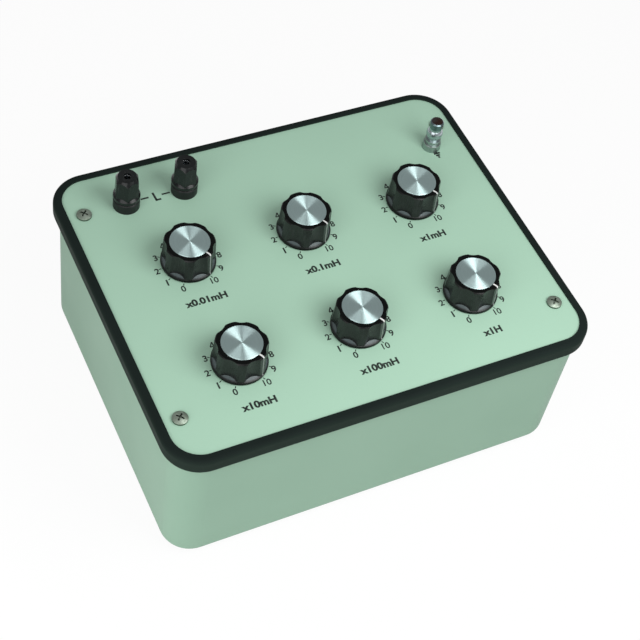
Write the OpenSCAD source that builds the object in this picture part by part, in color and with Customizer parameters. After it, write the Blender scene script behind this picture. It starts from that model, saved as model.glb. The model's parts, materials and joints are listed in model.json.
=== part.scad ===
// Six-dial inductance decade box: a moulded case closed by a painted panel under a black edge trim,
// with six stepped knobs, two binding posts and an earth terminal on the panel. Behind each knob hangs
// a wafer switch, and the switches carry one circuit board with four toroidal coils for each decade.
// Sizes are in millimetres. Z is up, the front faces -Y, and the origin is on the ground under the
// middle of the case. Dials 1 to 3 are the back row from left to right, dials 4 to 6 the front row.

/* [Case] */
// Width of the case over its walls
case_w = 241.8; // [200:0.1:300]
// Depth of the case over its walls
case_d = 193.8; // [180:0.1:260]
// Height of the case from its underside to its rim
case_h = 94; // [70:1:140]
// Thickness of the side walls
case_wall = 2.6; // [2:0.1:4]
// Thickness of the floor
floor_t = 3; // [2:0.1:5]
// Radius of the upright corners
corner_r = 17; // [10:0.1:24]
// Rounding of the edge between walls and floor
case_edge_r = 4; // [3:0.1:8]

/* [Panel] */
// Thickness of the panel
panel_t = 2; // [1.5:0.1:3]
// Distance from the sides of the case to the panel screws
screw_side = 10.1; // [9:0.1:16]
// Distance from the front and back of the case to the panel screws
screw_end = 25.9; // [16:0.1:40]
// Radius of the screw heads
screw_head_r = 4.2; // [3:0.1:5]
// Length of the screws under the head
screw_len = 10; // [8:1:14]

/* [Edge trim] */
// Thickness of the trim outside the case wall
trim_out = 3.7; // [2:0.1:6]
// Width of the lip that lies on the panel's edge
trim_lip = 1.3; // [0.8:0.1:3]
// Height of the trim above the panel's face
trim_top = 1; // [0.6:0.1:2]
// Height of the trim below the panel's face
trim_skirt = 8.8; // [5:0.1:14]
// Rounding of the trim's outer upper edge
trim_round = 2.6; // [1:0.1:3]

/* [Feet] */
// Height of the rubber feet
foot_h = 3; // [2:0.5:8]
// Radius of the rubber feet
foot_r = 8; // [6:0.5:10]
// Distance from the sides of the case to the feet
foot_side = 22.9; // [16:0.1:40]
// Distance from the front and back of the case to the feet
foot_end = 21.9; // [16:0.1:40]

/* [Dial layout] */
// Distance from the sides of the case to the outer dials
dial_side = 51.9; // [46:0.1:62]
// Distance between the two rows
dial_pitch_y = 71; // [60:0.5:78]
// Distance from the panel's middle forward to the middle of the rows
dial_shift = 13.3; // [0:0.1:20]
// Direction of the pointer at rest, at the last step of the scale
rest_angle = -60; // [-60:30:240]

/* [Knobs] */
// Radius of the round skirt at the knob's foot
knob_skirt_r = 15.2; // [14:0.1:18]
// Height of the skirt's rim above the panel
knob_skirt_h = 2.2; // [1.6:0.1:4]
// Slope of the skirt's upper side, in degrees
knob_skirt_slope = 27; // [15:1:40]
// Radius over the lobes at the top of the knob
knob_top_r = 14.1; // [13:0.1:17]
// Height of the knob's top above the panel
knob_h = 17; // [15:0.1:24]
// Gap between the knob's foot and the panel
knob_gap = 0.6; // [0.3:0.1:1.2]
// Number of grip flutes
flutes = 7; // [5:1:9]
// Radius of a flute's hollow
flute_r = 9; // [5:0.1:14]
// Depth of a flute at the knob's top
flute_depth = 1.3; // [0.6:0.1:2]
// Radius of the aluminium disc in the knob's top
disc_r = 11; // [8:0.1:11.5]
// Thickness of the disc
disc_t = 1; // [0.6:0.1:2]
// How far the disc stands above the knob's rim
disc_proud = 0.25; // [0:0.05:0.6]
// Wall between the knob's hollow and its flutes
knob_wall = 1.7; // [1.2:0.1:3]

/* [Rotary switches] */
// Radius of the switch shaft
shaft_r = 3; // [2.5:0.1:3.2]
// Running clearance of the turning parts, all round
run_gap = 0.05; // [0.02:0.01:0.1]
// Radius of the threaded bushing
bush_r = 4.5; // [4.2:0.1:5]
// Height of the bushing above the panel
bush_h = 4.8; // [4:0.1:5.5]
// Thickness of the bushing's nut
nut_t = 2; // [1.5:0.1:3]
// Width across the flats of the bushing's nut
nut_af = 12; // [11:0.5:14]
// Radius of the switch's indexing cup
cup_r = 13.5; // [13:0.1:15]
// Wall of the indexing cup
cup_wall = 1.5; // [1:0.1:2]
// Depth of the indexing cup under its plate
cup_depth = 8; // [7.8:0.1:10]
// Thickness of the plate that the bushing stands on
plate_t = 1.6; // [1.2:0.1:2.5]
// Radius over the crests of the star wheel
star_r = 8.2; // [7.6:0.1:8.4]
// Distance from the axis to the tie screws
tie_r = 16.5; // [16.2:0.1:19]
// Depth of the wafer below the panel's underside
wafer_z = 16; // [13:0.1:20]
// Thickness of the wafer
wafer_t = 1.6; // [1.2:0.1:2.4]
// Radius of the rotor's hub in the wafer
hub_r = 6.45; // [5.8:0.05:6.8]
// Distance from the axis to the contacts' tails
tail_r = 11.8; // [11.4:0.1:12.2]

/* [Circuit board] */
// Gap between the board and the case's pillars
board_gap = 2.8; // [1:0.1:6]
// Depth of the board
board_d = 134; // [132:1:136]
// Thickness of the board
board_t = 1.6; // [1.2:0.1:2.4]
// Depth of the board below the panel's underside
board_z = 25; // [23:0.5:30]
// Outer diameter of the smallest coil
coil_od = 16; // [12:0.5:18]
// Growth of the coils' diameter from one decade to the next
coil_step = 2.2; // [0:0.1:2.4]
// Distance between the coils of one decade
coil_pitch = 30; // [29:0.5:32]

/* [Terminals] */
// Distance from the back of the case to the binding posts, which line up with the first dial
post_end = 25.7; // [20:0.1:34]
// Distance between the binding posts
post_pitch = 34.4; // [19:0.1:45]
// Radius of a binding post's base
post_base_r = 7.5; // [6:0.1:9]
// Height of a binding post's base
post_base_h = 6.3; // [5:0.1:9]
// Height of the binding posts above the panel
post_h = 23.4; // [22:0.1:30]
// Radius over the corners of a cap below its chamfer
cap_top_r = 6.9; // [5:0.1:7]
// Direction in which the caps' corners point at rest
cap_turn = 10; // [0:1:60]
// How much further the left cap is turned than the right one
cap_turn_apart = 8; // [0:1:30]
// Radius of the metal stud inside a cap
stud_r = 3.2; // [2.8:0.1:3.6]
// Radius of the plug socket in each stud
socket_r = 2; // [1.9:0.05:2.1]
// Depth of the plug socket
socket_l = 12; // [10:0.5:13]
// Distance from the right side of the case to the earth terminal
earth_side = 21.1; // [18:0.1:40]
// Distance from the back of the case to the earth terminal
earth_end = 39.8; // [30:0.1:50]
// Height of the earth terminal above the panel
earth_h = 21.4; // [20.5:0.1:28]
// Radius of the earth terminal's foot
earth_foot_r = 5.5; // [4.7:0.1:7]
// Radius of the threaded tails of all three terminals
tail_thread_r = 2; // [1.8:0.1:2.5]

/* [Hidden] */
$fn = 64;

// A hair between pieces of one body that the real ones press together
fit_gap = 0.02;
// Heights of the main levels
floor_z = foot_h + floor_t;
rim_z = foot_h + case_h;
face_z = rim_z + panel_t;
// The dials, row by row from the back left, each with eleven steps
dials = [1, 2, 3, 4, 5, 6];
steps = 11;
step_angle = 30;
// A bushing and the pin beside it, which stops the switch from turning, fill holes in the panel
bush_hole_gap = 0.1;
pin_r = 1.2;
pin_at = [0, 9.6];

function dial_x(k) = (case_w / 2 - dial_side) * ((k - 1) % 3 - 1);
function dial_y(k) = dial_pitch_y * (k <= 3 ? 0.5 : -0.5) - dial_shift;

// Moves its children to dial k, with z counted from the given level
module at_dial(k, z) {
    translate([dial_x(k), dial_y(k), z])
        children();
}

// One copy of its children behind every dial
module at_all_dials(z) {
    for (k = dials)
        at_dial(k, z)
            children();
}

// Copies its children to four places, so far in from the sides and from the front and back of the case
module at_corners(side, end) {
    for (x = [side - case_w / 2, case_w / 2 - side])
        for (y = [end - case_d / 2, case_d / 2 - end])
            translate([x, y, 0])
                children();
}

// A hole or rod that runs from z1 up to z2
module rod(r, z1, z2) {
    translate([0, 0, z1])
        cylinder(r = r, h = z2 - z1);
}

// A ring that runs from z1 up to z2
module ring(r_out, r_in, z1, z2) {
    difference() {
        rod(r_out, z1, z2);
        rod(r_in, z1 - 1, z2 + 1);
    }
}

// A hexagonal prism, af wide across its flats
module hex(af, z1, z2) {
    translate([0, 0, z1])
        linear_extrude(z2 - z1)
            circle(d = af / cos(30), $fn = 6);
}

// Outline of a plate with rounded corners
module rounded_rect(w, d, r) {
    square([w - 2 * r, d], center = true);
    square([w, d - 2 * r], center = true);
    for (x = [-1, 1])
        for (y = [-1, 1])
            translate([x * (w / 2 - r), y * (d / 2 - r)])
                circle(r);
}

// Carries a profile round a rounded rectangle. The profile's x = 0 lies on the corners' axes.
module swept_rim(w, d, r) {
    for (q = [0:3]) {
        out = (q % 2 == 0 ? w : d) / 2 - r;
        half = (q % 2 == 0 ? d : w) / 2 - r;
        rotate(90 * q) {
            translate([out, half, 0])
                rotate_extrude(angle = 90)
                    children();
            translate([out, 0, 0])
                rotate([90, 0, 0])
                    linear_extrude(2 * half, center = true)
                        children();
        }
    }
}

// Half of a tray's section: from x = 0 out to x, from z up to top, its lower outer corner rounded
module tray_section(x, z, top, r) {
    translate([0, z + r])
        square([x, top - z - r]);
    translate([0, z])
        square([x - r, top - z]);
    translate([x - r, z + r])
        circle(r);
}

// Case: a deep tray with rounded corners and four pillars for the panel's screws
insert_r = 3;
insert_l = 8;
insert_top_gap = 0.2;
insert_bore_r = 2 + fit_gap;
pillar_r = 5.2;
pillar_rib_t = 3;
foot_stem_r = 2.9;

module case_walls() {
    swept_rim(case_w, case_d, corner_r)
        difference() {
            tray_section(corner_r, foot_h, rim_z, case_edge_r);
            tray_section(corner_r - case_wall, floor_z, rim_z + 1, max(case_edge_r - case_wall, 0.5));
        }
    translate([0, 0, foot_h + floor_t / 2])
        cube([case_w - 2 * corner_r, case_d - 2 * corner_r, floor_t], center = true);
}

// Pillars with the ribs that tie them to the side walls
module case_pillars() {
    rib_len = screw_side - case_wall / 2;
    rib_x = case_w / 2 - screw_side + rib_len / 2;
    at_corners(screw_side, screw_end)
        rod(pillar_r, floor_z - 0.5, rim_z);
    for (x = [-rib_x, rib_x])
        for (y = [screw_end - case_d / 2, case_d / 2 - screw_end])
            translate([x, y, floor_z - 1])
                linear_extrude(rim_z - floor_z + 1)
                    square([rib_len, pillar_rib_t], center = true);
}

module case_shell() {
    color("#A3C6B0")
        difference() {
            union() {
                case_walls();
                case_pillars();
            }
            at_corners(screw_side, screw_end)
                rod(insert_r + fit_gap, rim_z - screw_len - 1, rim_z + 1);
            at_corners(foot_side, foot_end)
                rod(foot_stem_r + fit_gap, foot_h - 1, floor_z + 1);
        }
}

// Brass inserts that take the panel's screws
module thread_inserts() {
    color("goldenrod")
        at_corners(screw_side, screw_end)
            ring(insert_r, insert_bore_r, rim_z - insert_top_gap - insert_l, rim_z - insert_top_gap);
}

// Push-in rubber feet: a pad under the floor, a stem through it and a barb above it
module rubber_feet() {
    barb_r = foot_stem_r + 1;
    barb_h = 2.4;
    pad_round = 0.8;
    color("#2A2A2A")
        at_corners(foot_side, foot_end) {
            rotate_extrude()
                union() {
                    square([foot_r - pad_round, foot_h]);
                    translate([0, pad_round])
                        square([foot_r, foot_h - pad_round]);
                    translate([foot_r - pad_round, pad_round])
                        circle(pad_round);
                }
            rod(foot_stem_r, foot_h - 0.5, floor_z + 0.5);
            translate([0, 0, floor_z])
                cylinder(r1 = barb_r, r2 = foot_stem_r - 0.6, h = barb_h);
        }
}

// Edge trim: a black section that laps over the panel's edge and hangs down outside the case
module trim_section() {
    wall_x = corner_r + fit_gap;
    out_x = corner_r + trim_out;
    lip_x = corner_r - trim_lip;
    low_round = min(1.4, trim_out / 2 - 0.1);
    top_z = face_z + trim_top;
    low_z = face_z - trim_skirt;
    // Lip on the panel, with the web that drops outside it
    translate([lip_x, face_z])
        square([out_x - trim_round - lip_x, trim_top]);
    translate([wall_x, low_z + low_round])
        square([out_x - wall_x, trim_skirt + trim_top - low_round - trim_round]);
    translate([wall_x, low_z])
        square([out_x - low_round - wall_x, trim_skirt]);
    // Rounded outer edges
    intersection() {
        translate([out_x - trim_round, top_z - trim_round])
            circle(trim_round);
        translate([wall_x, low_z])
            square([trim_out, trim_skirt + trim_top]);
    }
    translate([out_x - low_round, low_z + low_round])
        circle(low_round);
}

module edge_trim() {
    color("#1E2222")
        swept_rim(case_w, case_d, corner_r)
            trim_section();
}

// Panel: a painted plate with holes for the bushings, terminals and screws
post_hole_r = 4;
module front_panel() {
    color("#A8CDB8")
        difference() {
            translate([0, 0, rim_z])
                linear_extrude(panel_t)
                    rounded_rect(case_w - 2 * fit_gap, case_d - 2 * fit_gap, corner_r - fit_gap);
            at_corners(screw_side, screw_end)
                rod(insert_bore_r + 0.2, rim_z - 1, face_z + 1);
            at_all_dials(rim_z) {
                rod(bush_r + bush_hole_gap, -1, panel_t + 1);
                translate(pin_at)
                    rod(pin_r + bush_hole_gap, -1, panel_t + 1);
            }
            for (side = [-1, 1])
                at_post(side)
                    rod(post_hole_r, -panel_t - 1, 1);
            at_earth()
                rod(tail_thread_r + 0.2, -panel_t - 1, 1);
        }
}

// Pan-head screws with a cross recess
module panel_screws() {
    head_h = 2.3;
    dome_r = 2 * screw_head_r;
    slot_w = 0.9;
    slot_len = 1.1 * screw_head_r;
    slot_deep = 1.4;
    color("silver")
        at_corners(screw_side, screw_end)
            difference() {
                union() {
                    rod(insert_bore_r - fit_gap, face_z - screw_len, face_z + 0.5);
                    translate([0, 0, face_z])
                        rotate_extrude()
                            intersection() {
                                square([screw_head_r, head_h]);
                                translate([0, head_h - dome_r])
                                    circle(dome_r);
                            }
                }
                for (turn = [45, 135])
                    translate([0, 0, face_z + head_h])
                        rotate(turn)
                            cube([slot_len, slot_w, 2 * slot_deep], center = true);
            }
}

// Terminals: z is counted from the panel's face, and side is -1 for the left post and 1 for the right one
function post_x(side) = dial_x(1) + side * post_pitch / 2;

module at_post(side) {
    translate([post_x(side), case_d / 2 - post_end, face_z])
        children();
}

module at_earth() {
    translate([case_w / 2 - earth_side, case_d / 2 - earth_end, face_z])
        children();
}

washer_t = 0.8;
seat_z = post_base_h + washer_t;
stud_gap = run_gap;
stud_foot_z = 0.8;
insulator_t = 2;
lug_t = 0.8;
tail_nut_t = 3.2;
tail_below = panel_t + insulator_t + lug_t + tail_nut_t + 1.5;
wire_hole_r = 1.1;

// Insulating base of a binding post, with a spigot that fills the panel's hole
module post_base(side) {
    edge = 0.6;
    color("#1B1D1E")
        at_post(side)
            difference() {
                union() {
                    rotate_extrude()
                        polygon([
                            [0, 0], [post_base_r, 0], [post_base_r, post_base_h - edge],
                            [post_base_r - edge, post_base_h], [0, post_base_h]
                        ]);
                    rod(post_hole_r - fit_gap, 0.2 - panel_t, 0.5);
                }
                rod(tail_thread_r + fit_gap, -panel_t, stud_foot_z + 1);
                rod(stud_r + fit_gap, stud_foot_z, post_base_h + 1);
            }
}

// Plated stud: a socket for a 4 mm plug on top, a cross hole for a bare wire and a threaded tail
module post_stud(side) {
    top_z = post_h - 1.5;
    color("silver")
        at_post(side)
            difference() {
                union() {
                    rod(tail_thread_r, -tail_below, stud_foot_z + 0.5);
                    rod(stud_r, stud_foot_z, top_z);
                }
                rod(socket_r, top_z - socket_l, top_z + 1);
                translate([0, 0, seat_z + wire_hole_r + 0.6])
                    rotate([90, 0, 0])
                        cylinder(r = wire_hole_r, h = 4 * stud_r, center = true);
            }
}

// Plated washer that rides under a cap and presses on the wire without turning
module clamp_washer(side) {
    color("silver")
        at_post(side)
            ring(post_base_r - 1.6, stud_r + stud_gap, post_base_h, seat_z);
}

// Cap: a round collar below, and above it six flats that end on the collar's sloping shoulder
cap_collar_r = post_base_r + 0.1;
cap_foot_r = post_base_r - 0.2;
collar_h = 2;
collar_slope_h = 1.8;

// The flats, with the round chamfer of a turned nut on top
module cap_flats() {
    chamfer_r = 1.7;
    chamfer_h = 2.6;
    flat_r = cap_top_r - chamfer_r;
    low_z = seat_z + collar_h / 2;
    chamfer_z = post_h - (cap_collar_r - flat_r) * chamfer_h / chamfer_r;
    over = 1;
    intersection() {
        translate([0, 0, low_z])
            cylinder(r1 = cap_foot_r, r2 = cap_top_r, h = post_h - low_z + over, $fn = 6);
        rotate_extrude()
            polygon([
                [0, low_z - over], [cap_collar_r, low_z - over], [cap_collar_r, chamfer_z],
                [flat_r, post_h], [0, post_h]
            ]);
    }
}

module post_cap(side) {
    edge = 0.4;
    slope_r = 0.8 * cap_foot_r;
    slope_z = seat_z + collar_h + collar_slope_h;
    color("#1B1D1E")
        at_post(side)
            difference() {
                union() {
                    rotate_extrude()
                        polygon([
                            [0, seat_z], [cap_collar_r - edge, seat_z], [cap_collar_r, seat_z + edge],
                            [cap_collar_r, seat_z + collar_h], [slope_r, slope_z], [0, slope_z]
                        ]);
                    rotate(cap_turn - side * cap_turn_apart / 2)
                        cap_flats();
                }
                rod(stud_r + stud_gap, seat_z - 1, post_h - 1.2);
                rod(socket_r + 0.3, seat_z, post_h + 1);
            }
}

// Earth terminal: a plated stud with a round foot
earth_foot_h = 4.4;
earth_neck_h = 2;
earth_seat_z = earth_foot_h + earth_neck_h + washer_t;
earth_neck_r = 4.2;
earth_thread_r = 2.6;
earth_thread_top = 17.5;
module earth_stud() {
    bevel = 0.5;
    color("silver")
        at_earth()
            union() {
                rod(tail_thread_r, insulator_t - tail_below, 0.5);
                rotate_extrude()
                    polygon([
                        [0, 0], [earth_foot_r, 0], [earth_foot_r - bevel / 2, earth_foot_h - bevel],
                        [earth_foot_r - bevel, earth_foot_h], [earth_neck_r, earth_foot_h],
                        [earth_neck_r, earth_foot_h + earth_neck_h], [0, earth_foot_h + earth_neck_h]
                    ]);
                rod(earth_thread_r, earth_foot_h, earth_thread_top);
            }
}

module earth_clamp_washer() {
    color("silver")
        at_earth()
            ring(earth_neck_r + 0.4, earth_thread_r + stud_gap, earth_seat_z - washer_t, earth_seat_z);
}

// Earth nut: a ball-shaped belly, a short neck and a round head with an almost flat end
module earth_nut() {
    ball_r = 4.8;
    ball_up = 4.6;
    neck_r = 3.6;
    head_r = 4;
    head_z = earth_thread_top + 0.8;
    edge = 0.7;
    crown = 0.2;
    color("silver")
        at_earth()
            difference() {
                union() {
                    rod(neck_r, earth_seat_z, head_z + edge);
                    translate([0, 0, earth_seat_z + ball_up])
                        sphere(ball_r);
                    rotate_extrude()
                        polygon([
                            [0, head_z], [head_r - edge, head_z], [head_r, head_z + edge],
                            [head_r, earth_h - crown - edge], [head_r - edge, earth_h - crown], [0, earth_h]
                        ]);
                }
                rod(earth_thread_r + stud_gap, earth_seat_z - 1, earth_thread_top + 0.4);
            }
}

// Hardware under the panel: insulating washers, solder lugs and nuts
module under_post(side) {
    at_post(side)
        translate([0, 0, -panel_t])
            children();
}

module under_earth() {
    at_earth()
        translate([0, 0, -panel_t])
            children();
}

module post_insulators() {
    color("#3A2F28")
        for (side = [-1, 1])
            under_post(side)
                ring(post_base_r - 1.5, tail_thread_r + fit_gap, -insulator_t, 0);
}

lug_ring_r = 3.8;
lug_w = 2.8;
lug_len = 9;
module lug() {
    difference() {
        union() {
            rod(lug_ring_r, -lug_t, 0);
            translate([-lug_w / 2, -lug_len, -lug_t])
                cube([lug_w, lug_len, lug_t]);
        }
        rod(tail_thread_r + fit_gap, -lug_t - 1, 1);
    }
}

module terminal_lugs() {
    color("silver") {
        for (side = [-1, 1])
            under_post(side)
                translate([0, 0, -insulator_t])
                    lug();
        under_earth()
            lug();
    }
}

tail_nut_af = 7;
module tail_nut() {
    difference() {
        hex(tail_nut_af, -tail_nut_t, 0);
        rod(tail_thread_r + fit_gap, -tail_nut_t - 1, 1);
    }
}

module terminal_nuts() {
    color("silver") {
        for (side = [-1, 1])
            under_post(side)
                translate([0, 0, -insulator_t - lug_t])
                    tail_nut();
        under_earth()
            translate([0, 0, -lug_t])
                tail_nut();
    }
}

// Knob: a fluted grip on a round skirt, hollow below, with a boss for the shaft
knob_boss_r = 5.4;
knob_boss_z = bush_h + 1.2;
knob_floor_z = knob_h - 3.2;
shaft_top = knob_floor_z - 0.4;
flat_x = shaft_r * 0.55;
disc_z = knob_h - disc_t + disc_proud;
knob_edge = 0.6;
knob_step = 0.4;

// Grip: a tapering barrel with upright flutes, which are deepest at the skirt
module knob_grip() {
    low_r = knob_skirt_r - knob_step;
    low_z = knob_gap + 0.3;
    difference() {
        rotate_extrude()
            polygon([
                [0, low_z], [low_r, low_z], [low_r, knob_skirt_h],
                [knob_top_r, knob_h - knob_edge], [knob_top_r - knob_edge, knob_h], [0, knob_h]
            ]);
        for (i = [0:flutes - 1])
            rotate(rest_angle + (i + 0.5) * 360 / flutes)
                translate([knob_top_r - flute_depth + flute_r, 0, 0])
                    rod(flute_r, low_z - 1, knob_h + 1);
    }
}

// Round skirt that slopes up to the grip, and shows as a crescent at the foot of each flute
module knob_skirt() {
    in_r = knob_top_r - flute_depth - 1;
    rotate_extrude()
        polygon([
            [0, knob_gap], [knob_skirt_r, knob_gap], [knob_skirt_r, knob_skirt_h],
            [in_r, knob_skirt_h + (knob_skirt_r - in_r) * tan(knob_skirt_slope)], [0, knob_skirt_h]
        ]);
}

// Cavity under the knob: wide round the boss, and open below for the bushing and its nut
module knob_hollow() {
    hollow_r = knob_top_r - flute_depth - knob_wall;
    difference() {
        rod(hollow_r, 0, knob_floor_z);
        rod(knob_boss_r, knob_boss_z, knob_h);
    }
}

// Round bore with one flat, for the shaft's end
module d_bore(r, flat, z1, z2) {
    difference() {
        rod(r, z1, z2);
        rotate(rest_angle)
            translate([flat, -r, z1])
                cube([r, 2 * r, z2 - z1]);
    }
}

module knob(k) {
    color("#17191A")
        at_dial(k, face_z)
            difference() {
                union() {
                    knob_skirt();
                    knob_grip();
                }
                knob_hollow();
                d_bore(shaft_r + fit_gap, flat_x + fit_gap, knob_boss_z - 1, shaft_top);
                rod(disc_r + fit_gap, disc_z, knob_h + 1);
            }
}

// Spun aluminium disc let into the knob's top
module knob_disc(k) {
    bevel = 0.5;
    color("silver")
        at_dial(k, face_z + disc_z)
            rotate_extrude()
                polygon([
                    [0, 0], [disc_r, 0], [disc_r, disc_t - disc_proud],
                    [disc_r - bevel, disc_t], [0, disc_t]
                ]);
}

// Switch parts: z is counted from the panel's underside, downwards negative
star_top = -plate_t - 0.8;
star_t = 3;
hub_top = star_top - star_t;
stop_gap = 1;
stop_span = step_angle - stop_gap;
stop_top = hub_top - 0.6;
stop_low = -plate_t - cup_depth;
cup_in_r = cup_r - cup_wall;
blade_w = 4.4;
blade_t = 2.2;
blade_top = stop_low - 2;
blade_low = -wafer_z - wafer_t - 2;
star_hub_r = 5;
tie_screw_r = 1.5;
tie_head_r = 2.75;
tie_head_h = 1.5;
spacer_r = 2.4;
tie_gap = 0.1;
tie_end = 0.5;
wafer_edge = 0.25;

// Wedge of a disc, centred on the given direction
module wedge(r, span, direction, z1, z2) {
    rotate(direction - span / 2)
        translate([0, 0, z1])
            rotate_extrude(angle = span)
                square([r, z2 - z1]);
}

// Die-cast front of a switch: bushing, plate with ears, indexing cup and the stop in it
module switch_body(k) {
    ear_r = 3.2;
    color("#B9BCBE")
        at_dial(k, rim_z)
            difference() {
                union() {
                    rod(bush_r, -0.5, panel_t + bush_h);
                    translate([0, 0, -plate_t])
                        linear_extrude(plate_t) {
                            circle(cup_r);
                            square([2 * tie_r, 2 * ear_r], center = true);
                            for (x = [-tie_r, tie_r])
                                translate([x, 0])
                                    circle(ear_r);
                        }
                    ring(cup_r, cup_in_r, -plate_t - cup_depth, -plate_t / 2);
                    difference() {
                        wedge(cup_in_r + cup_wall / 2, stop_span, -90, stop_low, stop_top);
                        rod(star_r + 0.4, stop_low - 1, 0);
                    }
                    translate(pin_at)
                        rod(pin_r, -0.5, panel_t - 0.2);
                }
                rod(shaft_r + run_gap, -plate_t - 1, panel_t + bush_h + 1);
                for (x = [-tie_r, tie_r])
                    translate([x, 0, 0])
                        rod(tie_screw_r + fit_gap, -plate_t - 1, -0.3);
            }
}

// Shaft in one piece with its star wheel, stop lug and drive blade
module switch_shaft(k) {
    notch_r = 1.5;
    lug_r = cup_in_r - 0.8;
    color("#D8D8D2")
        at_dial(k, rim_z) {
            difference() {
                rod(shaft_r, blade_top, panel_t + shaft_top - 0.2);
                rotate(rest_angle)
                    translate([flat_x, -shaft_r, panel_t + knob_boss_z - 0.4])
                        cube([shaft_r, 2 * shaft_r, knob_h]);
            }
            translate([0, 0, star_top - star_t])
                linear_extrude(star_t)
                    difference() {
                        circle(star_r);
                        for (i = [0:360 / step_angle - 1])
                            rotate(i * step_angle)
                                translate([star_r + notch_r / 2, 0])
                                    circle(notch_r);
                    }
            rod(star_hub_r, stop_low + 0.4, hub_top + 0.5);
            wedge(lug_r, stop_span, rest_angle, stop_low + 0.4, stop_top - 0.2);
            translate([0, 0, (blade_low + blade_top) / 2])
                cube([blade_w, blade_t, blade_top - blade_low + 0.5], center = true);
        }
}

// Leaf springs that click into the star wheels
module detent_springs() {
    leaf_t = 0.4;
    bump_r = 1.2;
    crest_gap = 0.15;
    bump_y = star_r + crest_gap + bump_r;
    leaf_y = bump_y - bump_r + 0.55;
    half_len = sqrt(pow(cup_in_r - fit_gap, 2) - pow(leaf_y + leaf_t, 2));
    color("silver")
        at_all_dials(rim_z + star_top - star_t + 0.3)
            linear_extrude(star_t - 0.6)
                difference() {
                    union() {
                        translate([-half_len, leaf_y])
                            square([2 * half_len, leaf_t]);
                        intersection() {
                            translate([0, bump_y])
                                circle(bump_r);
                            translate([-bump_r, star_r])
                                square([2 * bump_r, leaf_y + leaf_t - star_r]);
                        }
                    }
                    translate([0, bump_y])
                        circle(bump_r - leaf_t);
                }
}

// Hexagon nuts on the bushings, hidden by the knobs
module switch_nuts() {
    color("silver")
        at_all_dials(face_z)
            difference() {
                hex(nut_af, 0, nut_t);
                rod(bush_r + fit_gap, -1, nut_t + 1);
            }
}

// Tubes that hold each wafer at its depth, and the screws through them
module spacer_tubes() {
    color("goldenrod")
        at_all_dials(rim_z)
            for (x = [-tie_r, tie_r])
                translate([x, 0, 0])
                    ring(spacer_r, tie_screw_r + tie_gap, -wafer_z, -plate_t);
}

module tie_screws() {
    color("silver")
        at_all_dials(rim_z)
            for (x = [-tie_r, tie_r])
                translate([x, 0, 0]) {
                    rod(tie_screw_r, -wafer_z - wafer_t - tie_end, -0.4);
                    rod(tie_head_r, -wafer_z - wafer_t - tie_head_h, -wafer_z - wafer_t);
                }
}

// Laminate wafers, each with a hole for its rotor and one for every contact's tail
tail_w = 1.2;
tail_t = 0.8;
tail_hole_r = 1;
module stator_wafers() {
    wafer_r = tie_r + tie_head_r + wafer_edge;
    color("#8A5A2B")
        at_all_dials(rim_z - wafer_z - wafer_t)
            linear_extrude(wafer_t)
                difference() {
                    circle(wafer_r);
                    circle(hub_r + run_gap);
                    for (x = [-tie_r, tie_r])
                        translate([x, 0])
                            circle(tie_screw_r + tie_gap);
                    for (i = [0:steps])
                        rotate(i * step_angle)
                            translate([tail_r, 0])
                                circle(tail_hole_r);
                }
}

// Contacts: eleven steps and, in the twelfth place, the common one
contact_t = 0.5;
contact_w = 2.2;
contact_in_r = 8.7;
module switch_contacts() {
    out_r = tail_r + tail_t;
    board_low = -board_z - board_t;
    color("#C8A45A")
        at_all_dials(rim_z - wafer_z)
            for (i = [0:steps])
                rotate(rest_angle + i * step_angle) {
                    translate([contact_in_r, -contact_w / 2, 0])
                        cube([out_r - contact_in_r, contact_w, contact_t]);
                    translate([tail_r - tail_t / 2, -tail_w / 2, wafer_z + board_low])
                        cube([tail_t, tail_w, contact_t - wafer_z - board_low]);
                }
}

// Rotor: a hub clipped into the wafer, with a wiper that points to the chosen step
module switch_rotor(k) {
    flange_r = contact_in_r - 0.8;
    wiper_r = contact_in_r + 2;
    wiper_w = 1.8;
    wafer_low = -wafer_z - wafer_t;
    wiper_z = contact_t + 0.05 - wafer_z;
    color("#D9B36A")
        at_dial(k, rim_z)
            difference() {
                union() {
                    rod(hub_r, wafer_low - 1, wiper_z + contact_t);
                    rod(flange_r, run_gap - wafer_z, wiper_z + contact_t);
                    rod(flange_r, wafer_low - 1, wafer_low - run_gap);
                    rotate(rest_angle)
                        translate([0, -wiper_w / 2, wiper_z])
                            cube([wiper_r, wiper_w, contact_t]);
                }
                cube([blade_w + 2 * fit_gap, blade_t + 2 * fit_gap, 3 * wafer_z], center = true);
            }
}

// Circuit board that hangs on the contacts' tails and carries the coils
module circuit_board() {
    board_w = case_w - 2 * (screw_side + pillar_r + board_gap);
    board_round = 3;
    board_hole_r = tail_t;
    color("#1F6B3A")
        difference() {
            translate([0, -dial_shift, rim_z - board_z - board_t])
                linear_extrude(board_t)
                    rounded_rect(board_w, board_d, board_round);
            at_all_dials(rim_z - board_z - board_t)
                for (i = [0:steps])
                    rotate(i * step_angle)
                        translate([tail_r, 0, 0])
                            rod(board_hole_r, -1, board_t + 1);
            for (x = wire_xs)
                translate([x, wire_end_y, rim_z - board_z - board_t])
                    rod(wire_r + 0.1, -1, board_t + 1);
        }
}

// Four toroids for each decade: their steps of 1, 2, 3 and 4 add up to every value from 0 to 10
function coil_d(k) = coil_od + coil_step * (k - 1);
function coil_h(k) = 0.4 * coil_d(k);
function core_bore(k) = 0.27 * coil_d(k);
winding_t = 1.6;
lead_gap = 30;

module at_coils(k) {
    at_dial(k, rim_z - board_z - board_t - coil_h(k) / 2)
        for (x = [-coil_pitch / 2, coil_pitch / 2])
            for (y = [-coil_pitch / 2, coil_pitch / 2])
                translate([x, y, 0])
                    children();
}

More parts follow.
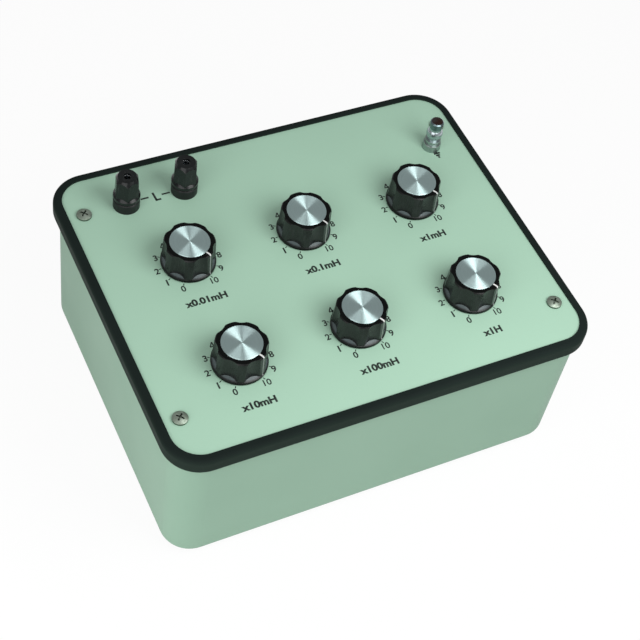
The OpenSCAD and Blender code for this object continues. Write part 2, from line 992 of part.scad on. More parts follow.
// Section of a core of decade k, on the right of the coil's axis, grown by a clearance on every side
module core_section(k, gap) {
    wide = coil_d(k) / 2 - winding_t - core_bore(k) + 2 * gap;
    high = coil_h(k) - 2 * winding_t + 2 * gap;
    translate([core_bore(k) - gap, -high / 2])
        square([wide, high]);
}

module toroid_cores() {
    color("#3C3C40")
        for (k = dials)
            at_coils(k)
                rotate_extrude()
                    core_section(k, 0);
}

// Windings wrap the cores except for the gap between their two ends
module coil_windings() {
    color("#B5642C")
        for (k = dials)
            at_coils(k)
                rotate(lead_gap / 2)
                    rotate_extrude(angle = 360 - lead_gap)
                        difference() {
                            translate([core_bore(k) - winding_t, -coil_h(k) / 2])
                                square([coil_d(k) / 2 - core_bore(k) + winding_t, coil_h(k)]);
                            core_section(k, fit_gap);
                        }
}

// Wires from the three terminals' lugs to the board
wire_r = 0.9;
wire_bend_r = 3;
wire_depth = 16;
wire_xs = [post_x(-1), post_x(1), case_w / 2 - earth_side];
wire_inset = 13.7;
wire_end_y = board_d / 2 - dial_shift - wire_inset;
wire_lug_y = lug_len - 1.5;

// Quarter bend about the X axis, whose centre is the origin: it starts at the given angle from +Y
module wire_bend(start) {
    rotate([0, 90, 0])
        rotate(90 - start)
            rotate_extrude(angle = -90)
                translate([wire_bend_r, 0])
                    circle(wire_r);
}

// A wire drops from a lug, runs forward and drops again into its hole in the board
module hookup_wire(x, y, top) {
    low = rim_z - wire_depth;
    board_low = rim_z - board_z - board_t;
    translate([x, 0, 0]) {
        translate([0, y, 0])
            rod(wire_r, low + wire_bend_r, top);
        translate([0, y - wire_bend_r, low + wire_bend_r])
            wire_bend(0);
        translate([0, wire_end_y + wire_bend_r, low])
            rotate([-90, 0, 0])
                rod(wire_r, 0, y - wire_end_y - 2 * wire_bend_r);
        translate([0, wire_end_y + wire_bend_r, low - wire_bend_r])
            wire_bend(180);
        translate([0, wire_end_y, 0])
            rod(wire_r, board_low, low - wire_bend_r);
    }
}

module hookup_wires() {
    color("#A03028") {
        for (side = [-1, 1])
            hookup_wire(post_x(side), case_d / 2 - post_end - wire_lug_y, rim_z - insulator_t - lug_t);
        hookup_wire(case_w / 2 - earth_side, case_d / 2 - earth_end - wire_lug_y, rim_z - lug_t);
    }
}

case_shell();
edge_trim();
front_panel();
panel_screws();
thread_inserts();
rubber_feet();
post_base(-1);  // left_post_base
post_stud(-1);  // left_post_stud
clamp_washer(-1);  // left_clamp_washer
post_cap(-1);  // left_post_cap
post_base(1);  // right_post_base
post_stud(1);  // right_post_stud
clamp_washer(1);  // right_clamp_washer
post_cap(1);  // right_post_cap
earth_stud();
earth_clamp_washer();
earth_nut();
terminal_nuts();
terminal_lugs();
post_insulators();
knob(1);  // knob_1
knob(2);  // knob_2
knob(3);  // knob_3
knob(4);  // knob_4
knob(5);  // knob_5
knob(6);  // knob_6
knob_disc(1);  // knob_disc_1
knob_disc(2);  // knob_disc_2
knob_disc(3);  // knob_disc_3
knob_disc(4);  // knob_disc_4
knob_disc(5);  // knob_disc_5
knob_disc(6);  // knob_disc_6
switch_shaft(1);  // switch_shaft_1
switch_shaft(2);  // switch_shaft_2
switch_shaft(3);  // switch_shaft_3
switch_shaft(4);  // switch_shaft_4
switch_shaft(5);  // switch_shaft_5
switch_shaft(6);  // switch_shaft_6
switch_rotor(1);  // switch_rotor_1
switch_rotor(2);  // switch_rotor_2
switch_rotor(3);  // switch_rotor_3
switch_rotor(4);  // switch_rotor_4
switch_rotor(5);  // switch_rotor_5
switch_rotor(6);  // switch_rotor_6
switch_body(1);  // switch_body_1
switch_body(2);  // switch_body_2
switch_body(3);  // switch_body_3
switch_body(4);  // switch_body_4
switch_body(5);  // switch_body_5
switch_body(6);  // switch_body_6
stator_wafers();
switch_contacts();
switch_nuts();
tie_screws();
spacer_tubes();
detent_springs();
circuit_board();
toroid_cores();
coil_windings();
hookup_wires();
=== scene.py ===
import json
import math

import bmesh
import bpy
from mathutils import Matrix, Vector


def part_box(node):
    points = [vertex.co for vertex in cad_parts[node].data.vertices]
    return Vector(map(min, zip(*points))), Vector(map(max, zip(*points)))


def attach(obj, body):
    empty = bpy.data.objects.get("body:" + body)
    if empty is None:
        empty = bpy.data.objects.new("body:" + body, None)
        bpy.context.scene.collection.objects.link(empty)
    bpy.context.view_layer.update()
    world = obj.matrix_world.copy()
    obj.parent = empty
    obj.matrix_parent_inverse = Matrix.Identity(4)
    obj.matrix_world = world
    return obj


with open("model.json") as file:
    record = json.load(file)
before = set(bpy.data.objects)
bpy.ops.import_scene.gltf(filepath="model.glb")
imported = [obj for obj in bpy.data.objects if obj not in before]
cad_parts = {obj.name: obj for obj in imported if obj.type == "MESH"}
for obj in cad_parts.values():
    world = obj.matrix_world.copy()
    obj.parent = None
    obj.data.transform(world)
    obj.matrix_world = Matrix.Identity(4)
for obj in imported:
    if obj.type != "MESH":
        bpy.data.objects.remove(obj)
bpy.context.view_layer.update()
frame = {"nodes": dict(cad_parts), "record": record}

MM = 0.001
DIALS = range(1, 7)
FACE_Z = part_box("front_panel")[1].z
PANEL_GREEN = (0.402, 0.626, 0.48)

# Bands of height above the panel over which a finish changes, in millimetres
SKIRT_EDGE = (2.1, 2.4)
SKIRT_TOP = (2.4, 2.9)
FLUTE_FOOT = (5.5, 6.5)
KNOB_RIM = (14, 15)
GRIP_END = (15.9, 16.5)
EARTH_NECK = (15.9, 16.5)
EARTH_END = (20, 20.4)

# Numbers of the Mix node's colour sockets, which share their names with other sockets
MIX_A, MIX_B, MIX_RESULT = 6, 7, 2


def centre(node):
    low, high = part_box(node)
    return (low + high) / 2


# Shader nodes
def feed(tree, socket, value):
    """Links a socket to an output, or gives it a plain value."""
    if isinstance(value, bpy.types.NodeSocket):
        tree.links.new(value, socket)
    else:
        socket.default_value = value


def add_node(tree, kind, inputs=None, **settings):
    """Adds a shader node. An input goes by name or number, and is fed with a value or an output."""
    made = tree.nodes.new("ShaderNode" + kind)
    for key, value in settings.items():
        setattr(made, key, value)
    for key, value in (inputs or {}).items():
        feed(tree, made.inputs[key], value)
    return made


class Finish:
    """A material in the making: its Principled shader, and short ways to add the nodes that drive it."""

    def __init__(self, name, colour, rough, metallic=0.0, **sockets):
        self.material = bpy.data.materials.new(name)
        self.material.use_nodes = True
        self.tree = self.material.node_tree
        self.shader = self.tree.nodes["Principled BSDF"]
        self.place = self.node("TexCoord").outputs["Object"]
        self.colour = (*colour, 1)
        self.normal = None
        self.feed("Base Color", self.colour)
        self.feed("Roughness", rough)
        self.feed("Metallic", metallic)
        for socket, value in sockets.items():
            self.feed(socket.replace("_", " "), value)

    def node(self, kind, inputs=None, **settings):
        return add_node(self.tree, kind, inputs, **settings)

    def feed(self, socket, value):
        feed(self.tree, self.shader.inputs[socket], value)

    def math(self, operation, *values):
        return self.node("Math", dict(enumerate(values)), operation=operation).outputs[0]

    def vector_math(self, operation, *values):
        return self.node("VectorMath", dict(enumerate(values)), operation=operation).outputs

    def span(self, value, low=0.0, high=1.0, start=0.3, end=0.7):
        """Runs from low to high while a value goes from start to end."""
        inputs = {"Value": value, "From Min": start, "From Max": end, "To Min": low, "To Max": high}
        return self.node("MapRange", inputs).outputs[0]

    def noise(self, scale, detail=2.0, stretch=None):
        """Noise of about 0 to 1. A metre holds this many waves, times the stretch along each axis."""
        place = self.place
        if stretch:
            place = self.vector_math("MULTIPLY", place, stretch)["Vector"]
        return self.node("TexNoise", {"Vector": place, "Scale": scale, "Detail": detail}).outputs[0]

    def facing_up(self, normal="Normal"):
        """1 on a level top and 0 on an upright wall. The True Normal leaves out smooth shading."""
        way = self.node("NewGeometry").outputs[normal]
        return self.node("SeparateXYZ", {"Vector": way}).outputs["Z"]

    def by_height(self, band, low=0.0, high=1.0):
        """Runs from low to high over a band of height above the panel, in millimetres."""
        height = self.node("SeparateXYZ", {"Vector": self.place}).outputs["Z"]
        start, end = band
        return self.span(height, low, high, FACE_Z + start * MM, FACE_Z + end * MM)

    def tint(self, factor, other):
        """Mixes the colour so far with another one where the factor is high."""
        mix = self.node("Mix", {0: factor, MIX_A: self.colour, MIX_B: (*other, 1)}, data_type="RGBA")
        self.colour = mix.outputs[MIX_RESULT]
        self.feed("Base Color", self.colour)

    def roughen(self, value, low, high, start=0.3, end=0.7):
        """Lets the roughness run from low to high while a value goes from start to end."""
        self.feed("Roughness", self.span(value, low, high, start, end))

    def bend_normal(self, kind, inputs, **settings):
        self.normal = self.node(kind, inputs, **settings).outputs[0]
        self.feed("Normal", self.normal)

    def round_edges(self, radius):
        """Shades sharp edges as if they had this radius in millimetres."""
        self.bend_normal("Bevel", {"Radius": radius * MM}, samples=4)

    def bump(self, height, depth):
        """Shades relief, this many millimetres deep, on top of the relief so far."""
        inputs = {"Height": height, "Distance": depth * MM}
        if self.normal is not None:
            inputs["Normal"] = self.normal
        self.bend_normal("Bump", inputs)


def shade(colour, factor):
    return tuple(min(1.0, c * factor) for c in colour)


# Materials
def plain_finish(name, colour, rough, metallic=0.0, patch=30, vary=0.1, grain=900, depth=0.02, stretch=None,
                 **sockets):
    """The usual make: a slow drift of colour and gloss, and a fine grain that is felt as bump."""
    made = Finish(name, colour, rough, metallic, **sockets)
    drift = made.noise(patch, detail=3.0)
    fine = made.noise(grain, detail=3.0, stretch=stretch)
    made.tint(made.span(drift), shade(colour, 1 - vary))
    made.roughen(made.math("ADD", drift, fine), rough * 0.85, rough * 1.15, start=0.7, end=1.3)
    made.bump(fine, depth)
    return made


def painted(name, colour, rough, specular):
    """Satin paint: faint orange peel, a little dust and almost even colour."""
    made = Finish(name, colour, rough, Specular_IOR_Level=specular)
    made.round_edges(0.4)
    drift = made.noise(scale=14)
    specks = made.noise(scale=1600, detail=1.0)
    made.tint(made.span(drift), shade(colour, 0.965))
    made.tint(made.span(specks, high=0.35, start=0.66, end=0.76), shade(colour, 0.86))
    made.roughen(drift, rough - 0.04, rough + 0.05)
    made.bump(made.noise(scale=420), depth=0.035)
    made.bump(specks, depth=0.006)
    return made


def black_gloss(name, colour, rough, edge):
    """Glossy black moulding with fine scuffs and a trace of dust. The edge is a radius in millimetres."""
    dusty = (0.12, 0.13, 0.13)
    made = Finish(name, colour, rough, Specular_IOR_Level=0.34)
    made.round_edges(edge)
    drift = made.noise(scale=60, detail=3.0)
    scuffs = made.noise(scale=700, detail=4.0, stretch=(1, 1, 0.25))
    made.tint(made.span(drift), shade(colour, 0.6))
    made.tint(made.span(scuffs, high=0.12, start=0.55, end=0.8), dusty)
    made.roughen(scuffs, rough * 0.8, rough * 1.35, end=0.75)
    made.bump(scuffs, depth=0.012)
    return made


def knob_black():
    """The same moulding, with a painted sheen at the foot of the flutes, and painted shade with less
    specular on the rim and the skirt's edge.
    """
    painted_foot_sheen = (0.088, 0.115, 0.118)
    painted_shade_black = (0.0018, 0.0024, 0.0023)
    specular = 0.36
    less_where_shaded = 0.24
    made = black_gloss("knob_black", (0.0098, 0.0112, 0.011), rough=0.28, edge=0.35)
    # Painted sheen: the level ledges at the foot of the flutes, above the skirt, are lightened as if they
    # caught the light.
    level = made.span(made.facing_up("True Normal"), start=0.6, end=0.85)
    foot = made.math("MULTIPLY", level, made.by_height(FLUTE_FOOT, low=1.0, high=0.0))
    made.tint(made.math("MULTIPLY", foot, made.by_height(SKIRT_TOP)), painted_foot_sheen)
    # Painted shade: the rim and the skirt's lowest edge are darker, and less specular, than the rest of the
    # moulding.
    rim = made.math("MULTIPLY", level, made.by_height(KNOB_RIM))
    shaded_mask = made.math("MAXIMUM", rim, made.by_height(SKIRT_EDGE, low=1.0, high=0.0))
    made.tint(shaded_mask, painted_shade_black)
    made.feed("Specular IOR Level", made.math("MULTIPLY_ADD", shaded_mask, -less_where_shaded, specular))
    return made


def trim_black():
    """Extruded black edging: satin, drawn lightly along its length, with painted light that makes its outer
    side greyer.
    """
    colour = (0.0118, 0.0175, 0.0158)
    painted_side_light = (0.0195, 0.031, 0.025)
    made = Finish("trim_black", colour, rough=0.45, Specular_IOR_Level=0.01)
    made.round_edges(0.3)
    drift = made.noise(scale=25, detail=3.0)
    drawn = made.noise(scale=900, detail=3.0, stretch=(0.2, 0.2, 1))
    made.tint(made.span(drift), shade(colour, 1.2))
    # Painted light: upright faces are greyer than the top, as if lit more.
    made.tint(made.span(made.facing_up(), low=1.0, high=0.0, start=0.1, end=0.9), painted_side_light)
    made.roughen(drawn, 0.4, 0.54)
    made.bump(drawn, depth=0.02)
    return made


def spun_disc():
    """Spun aluminium: circular grooves that draw the light out into a bright bow tie."""
    colour = (0.73, 0.94, 0.93)
    middle = (0.5, 0.5, 0.5)
    made = Finish(
        "spun_aluminium", colour, rough=0.5, metallic=1.0, Anisotropic=1.0, Anisotropic_Rotation=0.25,
    )
    made.feed("Tangent", made.node("Tangent", direction_type="RADIAL", axis="Z").outputs[0])
    spot = made.vector_math("SUBTRACT", made.node("TexCoord").outputs["Generated"], middle)["Vector"]
    spot = made.vector_math("MULTIPLY", spot, (1, 1, 0))["Vector"]
    radius = made.vector_math("LENGTH", spot)["Value"]
    rings = made.node("TexNoise", {"W": radius, "Scale": 95, "Detail": 4}, noise_dimensions="1D").outputs[0]
    made.tint(made.span(rings), shade(colour, 0.86))
    made.roughen(rings, 0.43, 0.51)
    made.bump(rings, depth=0.004)
    return made


def plated(name, colour, rough=0.24):
    """Nickel plating with the faint ripple of turned metal."""
    made = Finish(name, colour, rough, metallic=1.0)
    made.round_edges(0.25)
    drift = made.noise(scale=120, detail=3.0)
    turned = made.noise(scale=1500, stretch=(0.1, 0.1, 1))
    made.tint(made.span(drift), shade(colour, 0.83))
    made.roughen(drift, rough - 0.04, rough + 0.06)
    made.bump(turned, depth=0.01)
    return made


def earth_plating():
    """Plating of the earth nut: painted shade and dark reflection above the belly, and a painted dark brown
    reflection on its flat end.
    """
    painted_neck_shade = (0.13, 0.19, 0.2)
    painted_end_reflection = (0.07, 0.035, 0.028)
    made = plated("earth_plating", (0.5, 0.57, 0.6))
    # Painted shade and dark reflection over the neck and the head's side, above the belly.
    made.tint(made.by_height(EARTH_NECK, high=0.9), painted_neck_shade)
    # Painted reflection: the flat end is dark brown in blotches, as if it mirrored something dark.
    level = made.span(made.facing_up("True Normal"), start=0.8, end=0.9)
    end = made.math("MULTIPLY", level, made.by_height(EARTH_END))
    blotch = made.span(made.noise(scale=260, detail=3.0), low=0.75, start=0.35, end=0.6)
    made.tint(made.math("MULTIPLY", end, blotch), painted_end_reflection)
    return made


def screw_steel():
    """Zinc-plated steel, dulled, with painted shade in the recess and round the edge of a head."""
    dulled = (0.24, 0.29, 0.23)
    painted_recess_shade = (0.05, 0.058, 0.046)
    painted_edge_shade = (0.12, 0.15, 0.12)
    recess_reach = 1.2 * MM
    made = Finish("screw_steel", (0.5, 0.59, 0.5), rough=0.38, metallic=1.0)
    made.round_edges(0.25)
    drift = made.noise(scale=350, detail=4.0)
    made.tint(made.span(drift), dulled)
    openness = made.node("AmbientOcclusion", {"Distance": recess_reach}, samples=8).outputs["AO"]
    # Painted shade: darker where the ambient occlusion finds the recess closed in.
    made.tint(made.span(openness, low=0.95, high=0.0, start=0.4, end=0.9), painted_recess_shade)
    # Painted shade: faces that turn away from level, round the edge of the head, are darkened.
    made.tint(made.span(made.facing_up(), low=0.8, high=0.0, start=0.7, end=0.93), painted_edge_shade)
    made.roughen(drift, 0.36, 0.56)
    made.bump(made.noise(scale=2200, detail=3.0), depth=0.012)
    return made


def wound_wire():
    """Enamelled copper turns laid side by side."""
    dark_copper = (0.45, 0.15, 0.05)
    bright_copper = (0.62, 0.26, 0.1)
    made = Finish("wound_wire", dark_copper, rough=0.3, metallic=1.0, Coat_Weight=0.6, Coat_Roughness=0.15)
    bands = {"Vector": made.place, "Scale": 420, "Distortion": 0.6}
    turns = made.node("TexWave", bands, wave_type="BANDS", bands_direction="DIAGONAL").outputs["Fac"]
    made.tint(turns, bright_copper)
    made.roughen(made.noise(scale=90), 0.25, 0.4)
    made.bump(turns, depth=0.12)
    return made


def laminate(name, colour, fibre_colour):
    """Pressed laminate with a woven or papery grain."""
    made = Finish(name, colour, rough=0.4)
    fibres = made.noise(scale=1400, detail=4.0, stretch=(1, 0.15, 1))
    cloudy = made.noise(scale=60, detail=4.0)
    made.tint(made.span(cloudy), shade(colour, 0.8))
    made.tint(made.span(fibres, high=0.6), fibre_colour)
    made.roughen(fibres, 0.34, 0.5)
    made.bump(fibres, depth=0.02)
    return made


def panel_ink(name, colour, rough):
    """Screen-printed ink, a little thin in places."""
    made = Finish(name, colour, rough)
    thin = made.noise(scale=900, detail=3.0)
    made.tint(made.span(thin, high=0.5, start=0.5, end=0.8), shade(PANEL_GREEN, 0.35))
    made.roughen(thin, rough * 0.9, rough * 1.2)
    made.bump(thin, depth=0.008)
    return made


def pointer_ink():
    """White ink, worn thin in places, with painted shade on the grip below the rim."""
    worn_white = (0.5, 0.52, 0.51)
    painted_grip_shade = (0.24, 0.26, 0.25)
    made = Finish("pointer_ink", (0.78, 0.79, 0.77), rough=0.45)
    worn = made.noise(scale=800, detail=3.0)
    made.tint(made.span(worn, start=0.45, end=0.75), worn_white)
    # Painted shade: the line is greyed where it runs down the upright grip.
    made.tint(made.by_height(GRIP_END, low=1.0, high=0.0), painted_grip_shade)
    made.roughen(worn, 0.4, 0.6)
    made.bump(worn, depth=0.01)
    return made


FINISHES = {
    "case_plastic": painted("case_green", (0.266, 0.42, 0.316), rough=0.5, specular=0.2),
    "panel_paint": painted("panel_green", PANEL_GREEN, rough=0.44, specular=0.38),
    "trim_plastic": trim_black(),
    "screw_steel": screw_steel(),
    "insert_brass": plain_finish(
        "insert_brass", (0.66, 0.46, 0.2), rough=0.3, metallic=1.0, patch=80, vary=0.25, grain=1500,
    ),
    "foot_rubber": plain_finish(
        "foot_rubber", (0.022, 0.022, 0.023), rough=0.75, patch=60, vary=0.3, depth=0.06,
    ),
    "post_plastic": black_gloss("post_black", (0.0055, 0.0075, 0.0078), rough=0.24, edge=0.3),
    "plated_brass": plated("bright_plating", (0.6, 0.64, 0.66)),
    "insulator_fibre": laminate("insulator_fibre", (0.09, 0.055, 0.035), (0.16, 0.1, 0.06)),
    "wafer_laminate": laminate("wafer_laminate", (0.3, 0.15, 0.055), (0.4, 0.23, 0.1)),
    "contact_brass": plain_finish(
        "contact_brass", (0.72, 0.62, 0.42), rough=0.25, metallic=1.0, patch=300, vary=0.3, grain=2000,
    ),
    "spring_steel": plain_finish(
        "spring_steel", (0.4, 0.4, 0.42), rough=0.28, metallic=1.0, grain=1600, stretch=(0.1, 1, 1),
    ),
    "board_laminate": laminate("board_laminate", (0.015, 0.14, 0.05), (0.03, 0.2, 0.08)),
    "core_ferrite": plain_finish(
        "core_ferrite", (0.035, 0.035, 0.038), rough=0.6, patch=200, vary=0.4, depth=0.05,
    ),
    "winding_copper": wound_wire(),
    "wire_insulation": plain_finish("wire_insulation", (0.45, 0.03, 0.02), rough=0.4, patch=90, vary=0.2),
    "knob_plastic": knob_black(),
    "disc_aluminium": spun_disc(),
    "shaft_nylon": plain_finish(
        "shaft_nylon", (0.7, 0.68, 0.6), rough=0.45, vary=0.08, Subsurface_Weight=0.1,
    ),
    "rotor_plastic": plain_finish("rotor_plastic", (0.55, 0.33, 0.14), rough=0.4, vary=0.15),
    "cast_zinc": plain_finish(
        "cast_zinc", (0.45, 0.46, 0.47), rough=0.42, metallic=1.0, patch=120, vary=0.25, depth=0.05,
    ),
}
EARTH_PLATING = earth_plating()
# A rougher copy of the plating with a darker colour: painted shade that tones down the lamps' highlights on
# the earth stud and washer.
DULL_SHADED_PLATING = plated("dull_shaded_plating", (0.4, 0.47, 0.45), rough=0.4)
BASE_BLACK = black_gloss("base_black", (0.006, 0.0075, 0.0078), rough=0.5, edge=0.3)
# Solids whose finish differs from that of their slot
OWN_FINISHES = {
    "earth_nut": EARTH_PLATING,
    "earth_stud": DULL_SHADED_PLATING,
    "earth_clamp_washer": DULL_SHADED_PLATING,
    "left_post_base": BASE_BLACK,
    "right_post_base": BASE_BLACK,
}
for part in frame["record"]["subparts"]:
    finish = OWN_FINISHES.get(part["node"], FINISHES[part["material_slot"]])
    materials = frame["nodes"][part["node"]].data.materials
    materials.clear()
    materials.append(finish.material)

PRINT_INK = panel_ink("print_ink", (0.008, 0.013, 0.011), rough=0.5)
LABEL_INK = panel_ink("label_ink", (0.006, 0.012, 0.009), rough=0.55)
POINTER_INK = pointer_ink()


# Added pieces
def skin(made, rows):
    """Closes a bar that is given as rows of four corners, from one end to the other."""
    made.faces.new(rows[0][::-1])
    for a, b in zip(rows, rows[1:]):
        for i in range(4):
            j = (i + 1) % 4
            made.faces.new([a[i], a[j], b[j], b[i]])
    made.faces.new(rows[-1])


def add_piece(made, name, finish, body):
    """Turns gathered geometry into an object that rides on a body."""
    bmesh.ops.recalc_face_normals(made, faces=made.faces)
    mesh = bpy.data.meshes.new(name)
    made.to_mesh(mesh)
    made.free()
    mesh.materials.append(finish.material)
    piece = bpy.data.objects.new(name, mesh)
    bpy.context.scene.collection.objects.link(piece)
    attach(piece, body)


# Prints on the panel, with sizes in millimetres
INK_T = 0.04
CAP_SHARE = 0.73  # height of a capital letter in Blender's own font, as a share of its size
LETTER_SEGMENTS = 4  # of each curve in a letter's outline


class Print:
    """A layer of ink on the panel, gathered from words and strokes. Sizes are in millimetres."""

    def __init__(self):
        self.made = bmesh.new()

    def words(self, text, place, cap, bold, stretch=1.0):
        """Words centred on a place, with capitals of this height. The stretch widens them."""
        curve = bpy.data.curves.new("words", "FONT")
        curve.body = text
        curve.size = cap / CAP_SHARE * MM
        curve.align_x = "CENTER"
        curve.offset = bold * MM
        curve.extrude = INK_T / 2 * MM
        curve.resolution_u = LETTER_SEGMENTS
        helper = bpy.data.objects.new("words", curve)
        bpy.context.scene.collection.objects.link(helper)
        evaluated = helper.evaluated_get(bpy.context.evaluated_depsgraph_get())
        flat = bpy.data.meshes.new_from_object(evaluated)
        across = [v.co.x for v in flat.vertices]
        middle = (min(across) + max(across)) / 2
        flat.transform(Matrix.Diagonal((stretch, 1, 1, 1)) @ Matrix.Translation((-middle, 0, 0)))
        flat.transform(Matrix.Translation((place.x * MM, (place.y - cap / 2) * MM, FACE_Z + INK_T / 2 * MM)))
        self.made.from_mesh(flat)
        bpy.data.objects.remove(helper)
        bpy.data.curves.remove(curve)
        bpy.data.meshes.remove(flat)

    def line(self, start, end, wide):
        """A straight stroke from one place to another."""
        side = (end - start).normalized().orthogonal() * wide / 2
        corners = [start - side, end - side, end + side, start + side]
        rows = []
        for z in (FACE_Z, FACE_Z + INK_T * MM):
            rows.append([self.made.verts.new((corner.x * MM, corner.y * MM, z)) for corner in corners])
        skin(self.made, rows)

    def strokes(self, place, table):
        """Strokes round a place, each with its start, end and width."""
        for start, end, wide in table:
            self.line(place + Vector(start), place + Vector(end), wide)

    def finish(self, name, ink):
        add_piece(self.made, name, ink, "root")


# Dials. Angles are in degrees from +X, and the numbers run clockwise from 0.
ZERO_ANGLE = -120
STEP_ANGLE = 30
LAST_NUMBER = 10
REST_NUMBER = 10  # where all six pointers stand at rest
NUMBER_R = 18.0
NUMBER_SHIFT = Vector((-0.3, -0.9))
NUMBER_CAP = 3.9
NUMBER_BOLD = {1: 0.2, 10: 0.09}
OTHER_BOLD = 0.12
TICK_FROM, TICK_TO, TICK_W = 15.5, 16.9, 0.5
LABEL_SHIFT = Vector((-0.6, -27.2))
LABEL_CAP = 4.2
LABEL_BOLD = 0.25
LABEL_STRETCH = 1.1
UNITS = ("x0.01mH", "x0.1mH", "x1mH", "x10mH", "x100mH", "x1H")

# Strokes, each with its start, end and width. Those of the posts' signs are measured from the point midway
# between the posts, those of the earth sign from its terminal, and those of the 4 from its own middle. The
# font's 4 loses its shape when it is made bold.
FOUR = (
    ((0.5, 1.9), (-1.15, -0.7), 0.62),
    ((-1.35, -0.85), (1.35, -0.85), 0.62),
    ((0.6, 1.95), (0.6, -1.95), 0.62),
)
POST_SIGNS = (
    ((-0.4, 3.7), (-0.1, -2.2), 1.25),
    ((-0.7, -2.1), (2.7, -2.1), 1.25),
    ((-8.3, 1.1), (-3.6, 1.1), 1.1),
    ((4.1, 0.9), (9.0, 0.9), 1.1),
)
EARTH_SIGN = (
    ((0.8, -4.0), (0.8, -6.3), 1.0),
    ((-1.2, -6.2), (2.8, -6.2), 1.3),
    ((-0.5, -7.8), (2.1, -7.8), 1.3),
    ((0.2, -9.3), (1.4, -9.3), 1.3),
)


def direction(number):
    """The way from a dial's middle to a number."""
    turn = math.radians(ZERO_ANGLE - STEP_ANGLE * number)
    return Vector((math.cos(turn), math.sin(turn)))


def dial_scale(ink, middle):
    """The numbers and ticks round a dial."""
    for number in range(LAST_NUMBER + 1):
        along = direction(number)
        place = middle + NUMBER_SHIFT + NUMBER_R * along
        if number == 4:
            ink.strokes(place, FOUR)
        else:
            ink.words(str(number), place, NUMBER_CAP, NUMBER_BOLD.get(number, OTHER_BOLD))
        ink.line(middle + TICK_FROM * along, middle + TICK_TO * along, TICK_W)


scales = Print()
labels = Print()
for k, unit in zip(DIALS, UNITS):
    middle = (centre("knob_disc_%d" % k) / MM).xy
    dial_scale(scales, middle)
    labels.words(unit, middle + LABEL_SHIFT, LABEL_CAP, LABEL_BOLD, LABEL_STRETCH)
scales.finish("dial_scales", PRINT_INK)
labels.finish("decade_labels", LABEL_INK)

signs = Print()
between_posts = (centre("left_post_base") + centre("right_post_base")) / 2 / MM
signs.strokes(between_posts.xy, POST_SIGNS)
signs.strokes((centre("earth_stud") / MM).xy, EARTH_SIGN)
signs.finish("terminal_signs", PRINT_INK)

# Pointer lines, with sizes in millimetres. The crest is a knob's outline from the disc down to the skirt, as
# radius and height above the panel. A line is wider where it crosses the rim.
CREST = ((11.15, 17.0), (13.5, 17.0), (14.1, 16.4), (14.8, 2.4), (15.2, 2.2), (15.2, 1.2))
RIM_FROM = 16
RIM_LINE_W = 0.9
GRIP_LINE_W = 0.7
LINE_HALF_T = 0.05


def pointer(k):
    """A white line that runs over a knob's rim and down its crest."""
    made = bmesh.new()
    out = direction(REST_NUMBER).to_3d()
    across = Vector((-out.y, out.x, 0))
    middle = centre("knob_disc_%d" % k)
    rows = []
    for i, (radius, height) in enumerate(CREST):
        before, after = CREST[max(i - 1, 0)], CREST[min(i + 1, len(CREST) - 1)]
        run = Vector((after[0] - before[0], after[1] - before[1])).normalized()
        half = (RIM_LINE_W if height > RIM_FROM else GRIP_LINE_W) / 2
        row = []
        for side, depth in ((-1, -LINE_HALF_T), (1, -LINE_HALF_T), (1, LINE_HALF_T), (-1, LINE_HALF_T)):
            spot = out * (radius - run.y * depth) * MM + across * side * half * MM
            z = FACE_Z + (height + run.x * depth) * MM
            row.append(made.verts.new((middle.x + spot.x, middle.y + spot.y, z)))
        rows.append(row)
    skin(made, rows)
    add_piece(made, "pointer_line_%d" % k, POINTER_INK, "dial_%d" % k)


for k in DIALS:
    pointer(k)

# Studio
FLOOR_HALF = 30.0
FLOOR_GREY = 0.95
FLOOR_WHITE = 0.93  # share of plain white where the floor is seen, also in a reflection
WORLD_STRENGTH = 0.35
WHITE = (1, 1, 1, 1)
# Name, azimuth from +X and elevation in degrees, distance from the panel's middle and width, power in watts
LAMPS = (
    ("softbox_left", 216, 31, 0.7, 0.6, 2.1),
    ("softbox_right", -60, 50, 0.46, 0.33, 1.5),
    ("low_card", 204, -6, 0.34, 0.16, 0.13),
)
# The photograph's own camera, solved from the panel's four straight edges. Its place is measured from the
# middle of the panel's face. The lens and the sensor are in millimetres.
CAMERA_PLACE = (-0.2957, -0.4472, 0.6356)
CAMERA_RIGHT = Vector((0.8998, -0.418, 0.1248))
CAMERA_FORWARD = Vector((0.3454, 0.5079, -0.7891))
LENS = 84.84
SENSOR_W = 36
CLIP_START, CLIP_END = 0.05, 100


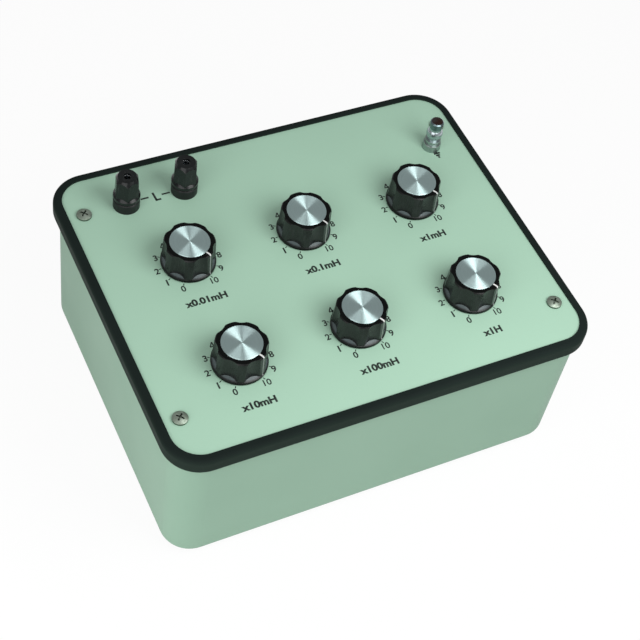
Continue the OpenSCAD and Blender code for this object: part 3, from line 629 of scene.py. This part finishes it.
def floor_white():
    """Pale and matt where it lights the box, and almost plain white where it is seen."""
    material = bpy.data.materials.new("floor_white")
    material.use_nodes = True
    tree = material.node_tree
    tree.nodes.clear()
    lit = add_node(tree, "BsdfDiffuse", {"Color": (FLOOR_GREY, FLOOR_GREY, FLOOR_GREY, 1)})
    white = add_node(tree, "Emission", {"Color": WHITE, "Strength": 1.0})
    rays = add_node(tree, "LightPath").outputs
    seen = rays["Is Camera Ray"]
    for other in ("Is Glossy Ray", "Is Transmission Ray"):
        seen = add_node(tree, "Math", {0: seen, 1: rays[other]}, operation="MAXIMUM").outputs[0]
    share = add_node(tree, "Math", {0: seen, 1: FLOOR_WHITE}, operation="MULTIPLY").outputs[0]
    mix = add_node(tree, "MixShader", {0: share, 1: lit.outputs[0], 2: white.outputs[0]})
    add_node(tree, "OutputMaterial", {"Surface": mix.outputs[0]})
    return material


def studio_floor():
    mesh = bpy.data.meshes.new("floor")
    corners = [(x * FLOOR_HALF, y * FLOOR_HALF, 0) for x, y in ((-1, -1), (1, -1), (1, 1), (-1, 1))]
    mesh.from_pydata(corners, [], [(0, 1, 2, 3)])
    mesh.materials.append(floor_white())
    floor = bpy.data.objects.new("floor", mesh)
    bpy.context.scene.collection.objects.link(floor)


def lamp(name, azimuth, elevation, distance, wide, watts):
    """A square softbox that looks at the middle of the panel."""
    data = bpy.data.lights.new(name, "AREA")
    data.energy = watts
    data.size = wide
    made = bpy.data.objects.new(name, data)
    turn, lift = math.radians(azimuth), math.radians(elevation)
    aim = Vector((math.cos(lift) * math.cos(turn), math.cos(lift) * math.sin(turn), math.sin(lift)))
    made.location = Vector((0, 0, FACE_Z)) + aim * distance
    made.rotation_euler = aim.to_track_quat("Z", "Y").to_euler()
    made.visible_camera = False
    bpy.context.scene.collection.objects.link(made)


def studio_world():
    world = bpy.data.worlds.new("studio")
    world.use_nodes = True
    back = world.node_tree.nodes["Background"]
    back.inputs["Color"].default_value = WHITE
    back.inputs["Strength"].default_value = WORLD_STRENGTH
    bpy.context.scene.world = world


def studio_camera():
    data = bpy.data.cameras.new("camera")
    data.sensor_fit = "HORIZONTAL"
    data.sensor_width = SENSOR_W
    data.lens = LENS
    data.clip_start = CLIP_START
    data.clip_end = CLIP_END
    camera = bpy.data.objects.new("camera", data)
    forward = CAMERA_FORWARD.normalized()
    up = CAMERA_RIGHT.normalized().cross(forward).normalized()
    turn = Matrix((forward.cross(up), up, -forward)).transposed().to_4x4()
    x, y, above_panel = CAMERA_PLACE
    camera.matrix_world = Matrix.Translation((x, y, FACE_Z + above_panel)) @ turn
    bpy.context.scene.collection.objects.link(camera)
    bpy.context.scene.camera = camera


studio_floor()
studio_world()
for values in LAMPS:
    lamp(*values)
studio_camera()
bpy.context.scene.view_settings.view_transform = "Standard"
